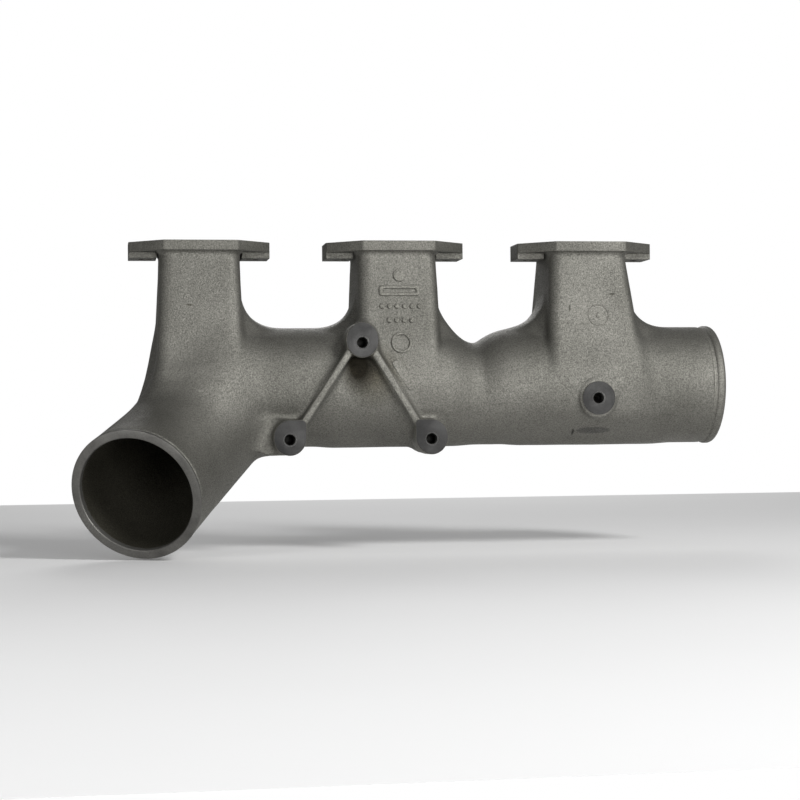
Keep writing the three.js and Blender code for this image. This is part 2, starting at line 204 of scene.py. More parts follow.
def waviness(shape, step, size, amount, seed):
    """Smooth random unevenness with a given length, as a field on the grid."""
    rng = np.random.default_rng(seed)
    counts = [int(n * step / size) + 4 for n in shape]
    values = rng.standard_normal(counts).astype(np.float32)
    for axis, n in enumerate(shape):
        place = np.arange(n) * step / size + 1
        base = np.floor(place).astype(int)
        t = (place - base).astype(np.float32)
        weights = [
            (1 - t) ** 3 / 6,
            (3 * t**3 - 6 * t**2 + 4) / 6,
            (-3 * t**3 + 3 * t**2 + 3 * t + 1) / 6,
            t**3 / 6,
        ]
        matrix = np.zeros((n, values.shape[axis]), np.float32)
        for k, weight in enumerate(weights):
            matrix[np.arange(n), base + k - 1] += weight
        values = np.moveaxis(np.tensordot(matrix, values, axes=(1, axis)), 0, axis)
    return values * np.float32(amount * 1.8)


def boss_column(x, y, z, hole, lift, radius, front):
    """A boss a little slimmer than its machined head, for the fillet round its foot."""
    gap = np.sqrt((x - hole[0]) ** 2 + ((z - hole[1] - lift) / BOSS_TALL) ** 2) - radius
    return np.maximum(gap, np.maximum(front - y, y - COLUMN_BACK))


def rib_line(name):
    top = BOSSES["bracket_boss_top"]["hole"]
    low = BOSSES[name]["hole"]
    side = math.copysign(1, low[0] - top[0])
    start = np.array([top[0] + side * 7.0, top[1] - 3.0])
    end = np.array([low[0] - side * 7.0, low[1] + 7.0])
    return start, end


def add_necks(outer, inner, x, y, z):
    toward_side = smooth_step((np.abs(y - AXIS_Y) - 12) / 20)
    for port in range(3):
        neck = runner_field(x, y, z, port, 0)
        if port == 1:
            neck = -smooth_min(-neck, pocket_field(x, y, z), 4.0)
        left, right = RUNNERS[port]["fold"]
        fold = left + (right - left) * smooth_step((x - PORT_X[port]) / 30 + 0.5)
        outer = smooth_min(outer, neck, FOOT_BLEND + (fold - FOOT_BLEND) * toward_side)
        inner = smooth_min(inner, runner_field(x, y, z, port, RUNNER_WALL), 12.0)
    return outer, inner


def add_elbow(outer, inner, x, y, z, near):
    """Joins the elbow, more softly the further it is from the first runner's foot."""
    elbow = elbow_field(x[near], y, z)
    blend = 1.5 + 21 * smooth_step((-100 - x[near]) / 45)
    outer[near] = smooth_min(outer[near], elbow, blend)
    inner[near] = smooth_min(inner[near], elbow + ELBOW_WALL, 16.0)


def add_bosses(outer, x, y, z):
    for boss in BOSSES.values():
        column = boss_column(x, y, z, boss["hole"], boss["lift"], BOSS_RADIUS - 0.6, PAD_PLANE + 2)
        outer = smooth_min(outer, column, 7.0)
    probe = boss_column(x, y, z, PROBE["hole"], 0, PROBE["radius"] + 1.4, PROBE["plane"] + 1.2)
    outer = smooth_min(outer, probe, 2.0)
    web = boss_column(x, y, z, WEB["at"], 0, WEB["radius"], WEB["front"])
    return smooth_min(outer, web, 9.0)


def add_ribs(outer, x, y, z):
    for name in LOWER_BOSSES:
        start, end = rib_line(name)
        ab = end - start
        h = np.clip(((x - start[0]) * ab[0] + (z - start[1]) * ab[1]) / (ab @ ab), 0, 1)
        gap = np.sqrt((x - start[0] - ab[0] * h) ** 2 + (z - start[1] - ab[1] * h) ** 2) - 2.4
        rib = np.maximum(gap, np.maximum(PAD_PLANE + 3.6 - y, y - COLUMN_BACK))
        outer = smooth_min(outer, rib, 7.0)
    return outer


def add_holes(inner, x, y, z):
    """Room for the tapped holes, so that no casting skin stands inside them."""
    holes = [(boss["hole"], PAD_PLANE + 18) for boss in BOSSES.values()]
    for hole, depth in holes + [(PROBE["hole"], 0.0)]:
        gap = np.sqrt((x - hole[0]) ** 2 + (z - hole[1]) ** 2) - (TAP_RADIUS + 1.0)
        inner = np.minimum(inner, np.maximum(gap, y - depth))
    return inner


def trimmed(outer, inner, x, y, z, near):
    """The wall between outside and bore, cut off where the flanges and the rims take over."""
    field = np.maximum(outer, -inner)
    field = np.maximum(field, z + 4.0)
    field = np.maximum(field, x - (RIGHT_END - 9.0))
    past = (x - MOUTH[0]) * MOUTH_NORMAL[0] + (y - MOUTH[1]) * MOUTH_NORMAL[1]
    past = past + (z - MOUTH[2]) * MOUTH_NORMAL[2]
    field[near] = np.maximum(field[near], np.where(x[near] < -150, past[near] + 3.0, -99))
    return field.astype(np.float32)


def casting_field(step):
    """Signed distances to the casting's wall and to its bore on a grid, and the grid's corner."""
    low = np.array([-264.0, -153.0, -249.0])
    high = np.array([RIGHT_END - 6, 46.0, -2.0])
    counts = [int((b - a) / step) + 1 for a, b in zip(low, high)]
    axes = [(low[i] + np.arange(counts[i]) * step).astype(np.float32) for i in range(3)]
    x, y, z = np.meshgrid(*axes, indexing="ij", sparse=True)
    outer, inner = add_necks(barrel_field(x, y, z, 0), barrel_field(x, y, z, WALL), x, y, z)
    near = axes[0] < -60
    add_elbow(outer, inner, x, y, z, near)
    outer = add_ribs(add_bosses(outer, x, y, z), x, y, z)
    outer += waviness(outer.shape, step, 22.0, 0.16, 3)
    outer += waviness(outer.shape, step, 6.0, 0.05, 4)
    inner = add_holes(inner, x, y, z)
    return trimmed(outer, inner, x, y, z, near), inner, low


def surface_net(field, low, step):
    """Vertices and quads of the zero surface, one vertex for each cell that it crosses."""
    cells = tuple(n - 1 for n in field.shape)
    total = int(np.prod(cells))
    sums = np.zeros((3, total))
    counts = np.zeros(total)
    edges = []
    for axis in range(3):
        lower = [slice(None)] * 3
        upper = [slice(None)] * 3
        lower[axis] = slice(0, -1)
        upper[axis] = slice(1, None)
        a, b = field[tuple(lower)], field[tuple(upper)]
        index = np.argwhere((a < 0) != (b < 0))
        others = [i for i in range(3) if i != axis]
        keep = np.ones(len(index), bool)
        for other in others:
            keep &= (index[:, other] > 0) & (index[:, other] < cells[other])
        index = index[keep]
        va = a[tuple(index.T)]
        vb = b[tuple(index.T)]
        place = index.astype(np.float64)
        place[:, axis] += va / (va - vb)
        around = []
        for du, dv in ((0, 0), (-1, 0), (-1, -1), (0, -1)):
            cell = index.copy()
            cell[:, others[0]] += du
            cell[:, others[1]] += dv
            flat = np.ravel_multi_index(tuple(cell.T), cells)
            around.append(flat)
            counts += np.bincount(flat, minlength=total)
            for i in range(3):
                sums[i] += np.bincount(flat, weights=place[:, i], minlength=total)
        quads = np.stack(around, axis=1)
        turn = (va < 0) if axis != 1 else (va >= 0)
        quads[~turn] = quads[~turn][:, ::-1]
        edges.append(quads)
    used = np.flatnonzero(counts)
    number = np.full(total, -1, np.int64)
    number[used] = np.arange(len(used))
    vertices = (sums[:, used] / counts[used]).T * step + low
    return vertices, number[np.vstack(edges)]


def relax(vertices, quads, rounds):
    """Evens out the small steps that the grid leaves."""
    pairs = np.vstack([quads[:, [i, (i + 1) % 4]] for i in range(4)])
    for _ in range(rounds):
        total = np.zeros_like(vertices)
        count = np.zeros(len(vertices))
        for a, b in ((0, 1), (1, 0)):
            count += np.bincount(pairs[:, a], minlength=len(vertices))
            for i in range(3):
                total[:, i] += np.bincount(
                    pairs[:, a], weights=vertices[pairs[:, b], i], minlength=len(vertices)
                )
        vertices = vertices * 0.5 + total / count[:, None] * 0.5
    return vertices


# ------------------------------------------------------------------ meshes


def add_object(name, mesh, material):
    mesh.materials.append(material)
    piece = bpy.data.objects.new(name, mesh)
    bpy.context.collection.objects.link(piece)
    return piece


def finish_piece(piece, slot, *nodes):
    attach(piece, "root")
    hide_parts(*nodes)
    return piece


def mesh_from_arrays(name, vertices, quads):
    mesh = bpy.data.meshes.new(name)
    mesh.vertices.add(len(vertices))
    mesh.vertices.foreach_set("co", (vertices * MM).astype(np.float32).ravel())
    mesh.loops.add(quads.size)
    mesh.loops.foreach_set("vertex_index", quads.astype(np.int32).ravel())
    mesh.polygons.add(len(quads))
    mesh.polygons.foreach_set("loop_start", np.arange(0, quads.size, 4, dtype=np.int32))
    mesh.polygons.foreach_set("use_smooth", np.ones(len(quads), bool))
    mesh.update(calc_edges=True)
    mesh.validate()
    return mesh


def prism(outline, low, high, axis="z"):
    """A bmesh prism over a closed outline. Along z the outline is x, y, and along y it is x, z."""
    bm = bmesh.new()
    rings = []
    for level in (low, high):
        points = [(u, v, level) if axis == "z" else (u, level, v) for u, v in outline]
        rings.append([bm.verts.new(Vector(p) * MM) for p in points])
    bm.faces.new(rings[0])
    bm.faces.new(rings[1][::-1])
    count = len(outline)
    for i in range(count):
        j = (i + 1) % count
        bm.faces.new([rings[0][j], rings[0][i], rings[1][i], rings[1][j]])
    bmesh.ops.recalc_face_normals(bm, faces=bm.faces)
    return bm


def rounded(corners, radius, steps=6):
    """A closed outline with its corners rounded off."""
    points = []
    count = len(corners)
    for i, corner in enumerate(corners):
        here = Vector(corner)
        before = (Vector(corners[i - 1]) - here).normalized()
        after = (Vector(corners[(i + 1) % count]) - here).normalized()
        half = before.angle(after) / 2
        cut = radius / math.tan(half)
        start = here + before * cut
        end = here + after * cut
        centre = here + (before + after).normalized() * (radius / math.sin(half))
        a = start - centre
        b = end - centre
        sweep = a.angle(b)
        for s in range(steps + 1):
            t = s / steps
            p = (a * math.sin((1 - t) * sweep) + b * math.sin(t * sweep)) / math.sin(sweep)
            points.append(tuple(centre + p))
    return points


def circle(x, y, radius, steps=48):
    angles = [2 * math.pi * i / steps for i in range(steps)]
    return [(x + radius * math.cos(a), y + radius * math.sin(a)) for a in angles]


def object_from(name, bm, material):
    mesh = bpy.data.meshes.new(name)
    bm.to_mesh(mesh)
    bm.free()
    return add_object(name, mesh, material)


def carve(piece, cutters):
    """Cuts each cutter out of the piece and applies it."""
    for bm in cutters:
        cutter = object_from("cutter", bm, piece.data.materials[0])
        step = piece.modifiers.new("cut", "BOOLEAN")
        step.operation = "DIFFERENCE"
        step.solver = "EXACT"
        step.object = cutter
        apply_modifiers(piece)
        bpy.data.objects.remove(cutter)


def apply_modifiers(piece):
    bpy.context.view_layer.update()
    depsgraph = bpy.context.evaluated_depsgraph_get()
    mesh = bpy.data.meshes.new_from_object(piece.evaluated_get(depsgraph))
    old = piece.data
    piece.modifiers.clear()
    piece.data = mesh
    bpy.data.meshes.remove(old)


def soften(piece, width, segments=3, angle=25.0):
    """Rounds off the piece's edges and smooths its curved sides."""
    step = piece.modifiers.new("edge", "BEVEL")
    step.width = width * MM
    step.segments = segments
    step.limit_method = "ANGLE"
    step.angle_limit = math.radians(angle)
    step.use_clamp_overlap = True
    apply_modifiers(piece)
    smooth_by_angle(piece.data, 32.0)


def smooth_by_angle(mesh, degrees):
    bm = bmesh.new()
    bm.from_mesh(mesh)
    limit = math.radians(degrees)
    for face in bm.faces:
        face.smooth = True
    for edge in bm.edges:
        edge.smooth = len(edge.link_faces) == 2 and edge.calc_face_angle(0) < limit
    bm.to_mesh(mesh)
    bm.free()


def turned(name, profile, centre, direction, material, steps=144):
    """A lathe-turned ring. The closed profile is distance along the direction, and radius."""
    direction = Vector(direction).normalized()
    side = direction.cross(Vector((0, 0, 1))).normalized()
    up = direction.cross(side)
    bm = bmesh.new()
    rings = []
    for i in range(steps):
        angle = 2 * math.pi * i / steps
        spoke = side * math.cos(angle) + up * math.sin(angle)
        rings.append([bm.verts.new((Vector(centre) + direction * a + spoke * r) * MM) for a, r in profile])
    count = len(profile)
    for i in range(steps):
        ring = rings[i]
        after = rings[(i + 1) % steps]
        for j in range(count):
            k = (j + 1) % count
            bm.faces.new([ring[j], ring[k], after[k], after[j]])
    bmesh.ops.recalc_face_normals(bm, faces=bm.faces)
    piece = object_from(name, bm, material)
    smooth_by_angle(piece.data, 32.0)
    return piece


# ------------------------------------------------------------------ materials


class Nodes:
    """Builds a material's node tree with short calls."""

    def __init__(self, name):
        self.material = bpy.data.materials.new(name)
        self.material.use_nodes = True
        self.tree = self.material.node_tree
        self.tree.nodes.clear()
        self.out = self.add("ShaderNodeOutputMaterial")
        self.shader = self.add("ShaderNodeBsdfPrincipled")
        self.link(self.shader.outputs[0], self.out.inputs[0])
        self.place = self.add("ShaderNodeTexCoord").outputs["Object"]

    def add(self, kind):
        return self.tree.nodes.new(kind)

    def link(self, source, target):
        self.tree.links.new(source, target)

    def noise(self, scale, detail=2.0, rough=0.5, place=None):
        node = self.add("ShaderNodeTexNoise")
        node.inputs["Scale"].default_value = scale
        node.inputs["Detail"].default_value = detail
        node.inputs["Roughness"].default_value = rough
        self.link(place or self.place, node.inputs["Vector"])
        return node.outputs["Fac"]

    def ramp(self, source, stops):
        node = self.add("ShaderNodeValToRGB")
        ramp = node.color_ramp
        while len(ramp.elements) < len(stops):
            ramp.elements.new(0.5)
        for element, (at, colour) in zip(ramp.elements, stops):
            element.position = at
            element.color = (*colour, 1) if isinstance(colour, tuple) else (colour, colour, colour, 1)
        self.link(source, node.inputs["Fac"])
        return node.outputs["Color"]

    def mix(self, kind, share, a, b):
        node = self.add("ShaderNodeMix")
        node.data_type = "RGBA"
        node.blend_type = kind
        if isinstance(share, float):
            node.inputs[0].default_value = share
        else:
            self.link(share, node.inputs[0])
        self.link(a, node.inputs[6])
        self.link(b, node.inputs[7])
        return node.outputs[2]

    def stain(self, centre, size, stops):
        """A soft spot of another tone, used both for marks and for painted shade, its centre and size in
        millimetres along X, Y and Z.
        """
        spot = self.add("ShaderNodeMapping")
        spot.vector_type = "TEXTURE"
        spot.inputs["Location"].default_value = Vector(centre) * MM
        spot.inputs["Scale"].default_value = Vector(size) * MM
        self.link(self.place, spot.inputs["Vector"])
        reach = self.add("ShaderNodeVectorMath")
        reach.operation = "LENGTH"
        self.link(spot.outputs[0], reach.inputs[0])
        return self.ramp(reach.outputs["Value"], stops)

    def bump(self, height, distance, strength, below=None):
        node = self.add("ShaderNodeBump")
        node.inputs["Distance"].default_value = distance
        node.inputs["Strength"].default_value = strength
        self.link(height, node.inputs["Height"])
        if below is not None:
            self.link(below, node.inputs["Normal"])
        return node.outputs["Normal"]


def cast_iron(name, low, mid, high, rough=(0.5, 0.68), grain=1.0, stains_and_shade=()):
    """Sand-cast iron: a fine granular skin, slow drifts of colour, and sharp edges brighter, partly as
    wear and partly as painted highlight.
    """
    m = Nodes(name)
    drift = m.noise(16.0, 4.0, 0.55)
    fine = m.noise(950.0, 2.0, 0.6)
    sand = m.noise(2100.0, 2.0, 0.6)
    base = m.ramp(drift, [(0.28, low), (0.5, mid), (0.74, high)])
    speckle = m.ramp(fine, [(0.3, 0.68), (0.5, 1.0), (0.72, 1.3)])
    colour = m.mix("MULTIPLY", 1.0, base, speckle)
    for centre, size, stops in stains_and_shade:
        colour = m.mix("MULTIPLY", 1.0, colour, m.stain(centre, size, stops))
    pits = m.ramp(sand, [(0.28, 0.62), (0.42, 1.0)])
    colour = m.mix("MULTIPLY", 0.75, colour, pits)
    geometry = m.add("ShaderNodeNewGeometry")
    # Wear and painted highlight: sharp edges are made lighter than flat and hollow faces.
    edge_wear_and_highlight = m.ramp(geometry.outputs["Pointiness"], [(0.5, 0.86), (0.53, 1.0), (0.6, 1.28)])
    colour = m.mix("MULTIPLY", 0.6, colour, edge_wear_and_highlight)
    m.link(colour, m.shader.inputs["Base Color"])
    shine = m.ramp(fine, [(0.3, rough[1]), (0.7, rough[0])])
    m.link(shine, m.shader.inputs["Roughness"])
    m.shader.inputs["Metallic"].default_value = 0.85
    coarse = m.bump(m.noise(170.0, 3.0, 0.6), 0.0008, 0.35 * grain)
    middle = m.bump(fine, 0.0006, 0.55 * grain, coarse)
    m.link(m.bump(sand, 0.0003, 0.6 * grain, middle), m.shader.inputs["Normal"])
    return m.material


def machined_iron(name, tone, rough, lay_scale):
    """Cut iron: fine tool marks, faint stains and a satin shine."""
    m = Nodes(name)
    stain = m.noise(45.0, 4.0, 0.6)
    speck = m.noise(900.0, 2.0, 0.6)
    dark = tuple(c * 0.72 for c in tone)
    light = tuple(c * 1.22 for c in tone)
    base = m.ramp(stain, [(0.3, dark), (0.5, tone), (0.7, light)])
    marks = m.ramp(speck, [(0.3, 0.8), (0.6, 1.1)])
    m.link(m.mix("MULTIPLY", 0.8, base, marks), m.shader.inputs["Base Color"])
    m.link(m.ramp(stain, [(0.3, rough + 0.1), (0.7, rough - 0.06)]), m.shader.inputs["Roughness"])
    m.shader.inputs["Metallic"].default_value = 0.75
    stretch = m.add("ShaderNodeMapping")
    stretch.inputs["Scale"].default_value = lay_scale
    m.link(m.place, stretch.inputs["Vector"])
    lay = m.noise(1.0, 2.0, 0.5, stretch.outputs[0])
    tool = m.bump(lay, 0.0002, 0.35)
    m.link(m.bump(speck, 0.0002, 0.25, tool), m.shader.inputs["Normal"])
    return m.material


IRON_TONES = (0.14, 0.137, 0.121), (0.18, 0.176, 0.157), (0.215, 0.21, 0.188)
# Painted shade: the flanges take a darker copy of the cast iron's tones.
FLANGE_SHADE_TONES = (0.105, 0.103, 0.091), (0.138, 0.135, 0.12), (0.168, 0.164, 0.147)
# Painted shade: the bore takes a much darker copy of the cast iron's tones.
BORE_SHADE_TONES = (0.05, 0.048, 0.036), (0.07, 0.066, 0.05), (0.09, 0.085, 0.066)
MARK_TONES = (0.14, 0.137, 0.12), (0.18, 0.176, 0.156), (0.22, 0.214, 0.192)

CAST = cast_iron("cast_iron", *IRON_TONES)
# The spots are painted shade in the pocket under the top boss and a paler, wider painted shade
# round it, a smear and a stroke under the probe boss, and three nicks.
CAST_SKIN = cast_iron(
    "cast_iron_skin",
    *IRON_TONES,
    stains_and_shade=[
        # The first two spots are painted shade under the top boss: a dark one in the pocket and a paler,
        # wider one round it.
        ((-35, -46, -99), (18, 30, 26), [(0.4, (0.08, 0.07, 0.045)), (1.0, 1.0)]),
        ((-22, -46, -106), (28, 30, 28), [(0.15, (0.42, 0.39, 0.32)), (1.0, 1.0)]),
        ((154.5, -50, -150.8), (17.5, 30, 3.4), [(0.8, (0.62, 0.62, 0.64)), (1.0, 1.0)]),
        ((138.5, -50, -152.2), (1.6, 30, 4.2), [(0.6, (0.2, 0.2, 0.2)), (0.95, 1.0)]),
        ((-164, -41, -50.8), (4.0, 9, 0.8), [(0.5, (0.45, 0.44, 0.4)), (0.95, 1.0)]),
        ((171, -39, -42.2), (3.4, 9, 0.9), [(0.5, (0.4, 0.4, 0.38)), (0.95, 1.0)]),
        ((135.5, -41, -53.5), (0.9, 9, 3.4), [(0.5, (0.4, 0.4, 0.38)), (0.95, 1.0)]),
    ],
)
FLANGE_SHADED_CAST = cast_iron("cast_iron_flange_shaded", *FLANGE_SHADE_TONES)
CAST_INSIDE_SHADED = cast_iron("cast_iron_bore_shaded", *BORE_SHADE_TONES)
FACE = machined_iron("machined_gasket_face", (0.2, 0.2, 0.205), 0.42, (900.0, 60.0, 60.0))
RIM = machined_iron("machined_rim", (0.13, 0.127, 0.118), 0.5, (700.0, 700.0, 700.0))
# Painted shade: the boss faces' machined iron is made near black for the dark surroundings they reflect.
BOSS_FACE_SHADED = machined_iron("machined_boss_shaded", (0.042, 0.0415, 0.0405), 0.5, (900.0, 900.0, 120.0))
# Painted shade: the tapped holes' iron is made nearly black.
THREAD_SHADE = machined_iron("tapped_hole_shade", (0.012, 0.0115, 0.01), 0.5, (400.0, 2600.0, 400.0))
# The countersinks' cut iron is lighter than the other machined faces, partly its own brightness and partly
# painted highlight.
COUNTERSINK_CUT_AND_HIGHLIGHT = machined_iron("machined_countersink_highlight", (0.3, 0.298, 0.29), 0.32, (900.0, 900.0, 900.0))
MARK = cast_iron("raised_mark", *MARK_TONES)

# ------------------------------------------------------------------ the cast skin, in sections

SECTION_CUTS = [-104.0, -50.0, 40.0, 98.0, 214.0]
FOOT_CUT = -60.0
ELBOW_CUT_SHARE = 0.38  # how far along its centreline the elbow section begins
SECTION_NAMES = [
    "barrel_end", "barrel_1", "barrel_junction_2", "barrel_2", "barrel_junction_3", "spigot_tube",
]
RUNNER_SECTION, ELBOW_SECTION = 10, 20  # section numbers of the first runner and the elbow


def elbow_cut_plane():
    count = 60
    line, _ = elbow_line(count)
    i = int(ELBOW_CUT_SHARE * (count - 1))
    return line[i], line[i + 1] - line[i - 1]


def cast_skin():
    step = 1.4
    field, inner, low = casting_field(step)
    vertices, quads = surface_net(field, low, step)
    vertices = relax(vertices, quads, 2)
    mesh = mesh_from_arrays("skin", vertices, quads)
    bm = bmesh.new()
    bm.from_mesh(mesh)
    point, normal = elbow_cut_plane()
    planes = [(Vector((x, 0, 0)), Vector((1, 0, 0))) for x in SECTION_CUTS]
    planes.append((Vector((0, 0, FOOT_CUT)), Vector((0, 0, 1))))
    planes.append((Vector(point), Vector(normal).normalized()))
    for at, facing in planes:
        parts = list(bm.verts) + list(bm.edges) + list(bm.faces)
        bmesh.ops.bisect_plane(bm, geom=parts, dist=1e-7, plane_co=at * MM, plane_no=facing)
    bm.to_mesh(mesh)
    bm.free()
    count = len(mesh.polygons)
    centres = np.zeros(count * 3)
    mesh.polygons.foreach_get("center", centres)
    centres = centres.reshape(-1, 3) / MM
    cell = np.rint((centres - low) / step).astype(int)
    cell = np.minimum(cell, np.array(inner.shape) - 1)
    in_bore = inner[tuple(cell.T)] < 2.2
    return mesh, centres, in_bore, np.array(point), np.array(normal) / np.linalg.norm(normal)


def section_of(centres, point, normal):
    """The number of the section that each face belongs to."""
    x, z = centres[:, 0], centres[:, 2]
    section = np.searchsorted(SECTION_CUTS, x)
    for port in range(3):
        top = (z > FOOT_CUT) & (np.abs(x - PORT_X[port]) < 70)
        section = np.where(top, RUNNER_SECTION + port, section)
    elbow = ((centres - point) @ normal > 0) & (x < -60)
    return np.where(elbow, ELBOW_SECTION, section)


def pull(items, field, width, kind):
    """One row of values for each item of a mesh, or one value where the width is 1."""
    values = np.zeros(len(items) * width, kind)
    items.foreach_get(field, values)
    return values.reshape(-1, width) if width > 1 else values


def section_mesh(name, loops, sizes, places, normals):
    """The faces of one section as a mesh that keeps the shading of the whole skin."""
    used, local = np.unique(loops, return_inverse=True)
    part = bpy.data.meshes.new(name)
    part.vertices.add(len(used))
    part.vertices.foreach_set("co", places[used].ravel())
    part.loops.add(len(loops))
    part.loops.foreach_set("vertex_index", local.astype(np.int32))
    part.polygons.add(len(sizes))
    part.polygons.foreach_set("loop_start", np.r_[0, np.cumsum(sizes)[:-1]].astype(np.int32))
    part.polygons.foreach_set("use_smooth", np.ones(len(sizes), bool))
    part.update(calc_edges=True)
    part.normals_split_custom_set_from_vertices(normals[used].tolist())
    return part


def split_skin():
    mesh, centres, in_bore, point, normal = cast_skin()
    section = section_of(centres, point, normal)
    totals = pull(mesh.polygons, "loop_total", 1, np.int32)
    loop_vertex = pull(mesh.loops, "vertex_index", 1, np.int32)
    places = pull(mesh.vertices, "co", 3, np.float32)
    normals = pull(mesh.vertex_normals, "vector", 3, np.float32)
    loop_face = np.repeat(np.arange(len(totals)), totals)
    names = dict(enumerate(SECTION_NAMES))
    names.update({RUNNER_SECTION + i: f"runner_{i + 1}" for i in range(3)})
    names[ELBOW_SECTION] = "elbow_tube"
    for number, name in names.items():
        faces = np.flatnonzero(section == number)
        loops = loop_vertex[np.isin(loop_face, faces)]
        part = section_mesh(name, loops, totals[faces], places, normals)
        piece = add_object(name + "_cast", part, CAST_SKIN)
        # Faces inside the bore take the darker copy of the iron, painted shade inside the tubes.
        part.materials.append(CAST_INSIDE_SHADED)
        part.polygons.foreach_set("material_index", in_bore[faces].astype(np.int32))
        finish_piece(piece, "cast_iron", name)
    return surface_tree(mesh)


def surface_tree(mesh):
    """The whole skin, for finding the surface under a mark."""
    bm = bmesh.new()
    bm.from_mesh(mesh)
    tree = BVHTree.FromBMesh(bm)
    bm.free()
    return tree


SURFACE = split_skin()

# ------------------------------------------------------------------ port flanges


PAD_START = 33.4  # where the thicker screw pad under each end begins
PAST_FLANGE = 80.0  # beyond the flange's end
FLANGE_OUTLINE = [
    (FLANGE_LENGTH, -FLANGE_END), (FLANGE_LENGTH, FLANGE_END),
    (FLANGE_FRONT, FLANGE_DEPTH), (-FLANGE_FRONT, FLANGE_DEPTH),
    (-FLANGE_LENGTH, FLANGE_END), (-FLANGE_LENGTH, -FLANGE_END),
    (-FLANGE_FRONT, -FLANGE_DEPTH), (FLANGE_FRONT, -FLANGE_DEPTH),
]
# Everything under the flange but the two pads is cut back to the flange's own thickness.
PAD_RELIEF = [
    (-PAD_START, -FLANGE_END), (-PAST_FLANGE, -FLANGE_END), (-PAST_FLANGE, -60),
    (PAST_FLANGE, -60), (PAST_FLANGE, -FLANGE_END), (PAD_START, -FLANGE_END),
    (PAD_START, FLANGE_END), (PAST_FLANGE, FLANGE_END), (PAST_FLANGE, 60),
    (-PAST_FLANGE, 60), (-PAST_FLANGE, FLANGE_END), (-PAD_START, FLANGE_END),
]


def port_flange(port):
    x = PORT_X[port]
    node = f"port_flange_{port + 1}"
    outline = [(x + u, v) for u, v in rounded(FLANGE_OUTLINE, 3.2)]
    piece = object_from(node + "_cast", prism(outline, -FLANGE_FULL, 0), FLANGE_SHADED_CAST)
    cutters = [prism([(x + u, v) for u, v in PAD_RELIEF], -20, -FLANGE_THICK)]
    half = RUNNER_HALF - RUNNER_WALL - 0.2
    passage = rounded([(-half, -half), (half, -half), (half, half), (-half, half)], 6.5)
    cutters.append(prism([(x + u, v) for u, v in passage], -30, 5))
    cutters += [prism(circle(x + side * SCREW_X, 0, SCREW_RADIUS), -30, 5) for side in (-1, 1)]
    carve(piece, cutters)
    soften(piece, 0.9)
    machine_top(piece)
    return finish_piece(piece, "cast_iron", node)


def machine_top(piece):
    """The upper face is machined, so it takes the second material."""
    piece.data.materials.append(FACE)
    for face in piece.data.polygons:
        if face.normal.z > 0.95 and face.center.z > -0.0005:
            face.material_index = 1


for i in range(3):
    port_flange(i)

# ------------------------------------------------------------------ spigot and elbow rims

spigot_start = RIGHT_END - 9.6
bead = RIGHT_END - 7.0
spigot_profile = [
    (spigot_start, RADIUS - WALL), (spigot_start, RADIUS - 0.5), (bead - 1.1, RADIUS - 0.45),
    (bead - 0.6, RADIUS - 0.5), (bead, RADIUS - 0.35), (bead + 0.6, RADIUS + 0.35),
    (bead + 1.6, RADIUS + 0.75), (RIGHT_END - 2.6, RADIUS + 0.75), (RIGHT_END - 1.4, RADIUS + 0.3),
    (RIGHT_END - 0.5, RADIUS - 0.5), (RIGHT_END, RADIUS - 1.6), (RIGHT_END, RADIUS - WALL + 0.9),
    (RIGHT_END - 0.9, RADIUS - WALL),
]
piece = turned("spigot_rim_cast", spigot_profile, (0, AXIS_Y, AXIS_Z), (1, 0, 0), CAST)
finish_piece(piece, "cast_iron", "spigot_rim")

inner_mouth = MOUTH_RADIUS - ELBOW_WALL
rim_profile = [
    (-8.0, inner_mouth - 0.1), (-8.0, MOUTH_RADIUS - 3.0), (-4.0, MOUTH_RADIUS - 2.0),
    (-2.9, MOUTH_RADIUS - 0.35), (-2.2, MOUTH_RADIUS), (-0.9, MOUTH_RADIUS),
    (-0.3, MOUTH_RADIUS - 0.3), (0.0, MOUTH_RADIUS - 0.9), (0.0, inner_mouth + 0.7),
    (-0.5, inner_mouth + 0.1), (-1.2, inner_mouth - 0.1),
]
piece = turned("elbow_rim_machined", rim_profile, tuple(MOUTH), tuple(MOUTH_NORMAL), RIM)
finish_piece(piece, "machined_iron", "elbow_rim")

# ------------------------------------------------------------------ bosses and ribs


def boss_outline(hole, lift, corner, radius):
    """A circle, or a circle with one square corner at its upper side."""
    cx, cz = hole[0], hole[1] + lift
    tall = radius * BOSS_TALL
    if corner == 0:
        return [(u, cz + (v - cz) * BOSS_TALL) for u, v in circle(cx, cz, radius, 72)]
    points = []
    for i in range(55):
        angle = math.pi / 2 + 2 * math.pi * 0.75 * i / 54
        points.append((cx + corner * radius * math.cos(angle), cz + tall * math.sin(angle)))
    square = (cx + corner * radius, cz + tall)
    reach = 3.0
    points.append((square[0], square[1] - reach))
    points.append((square[0] - corner * 0.9, square[1] - 0.9))
    points.append((square[0] - corner * reach, square[1]))
    return points


def boss_piece(name, outline, hole, plane, back, seat):
    """A boss with its machined face in the plane and a hole as deep as the seat."""
    piece = object_from(name + "_machined", prism(outline, plane, back, axis="y"), CAST)
    soften(piece, 0.7, 3)
    drill = turned_cutter(hole, plane, seat)
    carve(piece, [drill])
    smooth_by_angle(piece.data, 30.0)
    piece.data.materials.append(BOSS_FACE_SHADED)
    piece.data.materials.append(THREAD_SHADE)
    piece.data.materials.append(COUNTERSINK_CUT_AND_HIGHLIGHT)
    # The front face takes the near-black painted shade, the hole's wall the darker painted shade, and the
    # countersink the lighter tone with its painted highlight.
    for face in piece.data.polygons:
        gap = math.hypot(face.center.x / MM - hole[0], face.center.z / MM - hole[1])
        if gap < TAP_RADIUS + 2.4 and abs(face.normal.y) < 0.95:
            face.material_index = 3 if face.center.y / MM < plane + 1.5 else 2
        elif face.normal.y < -0.95:
            face.material_index = 1
    return finish_piece(piece, "machined_iron", name)


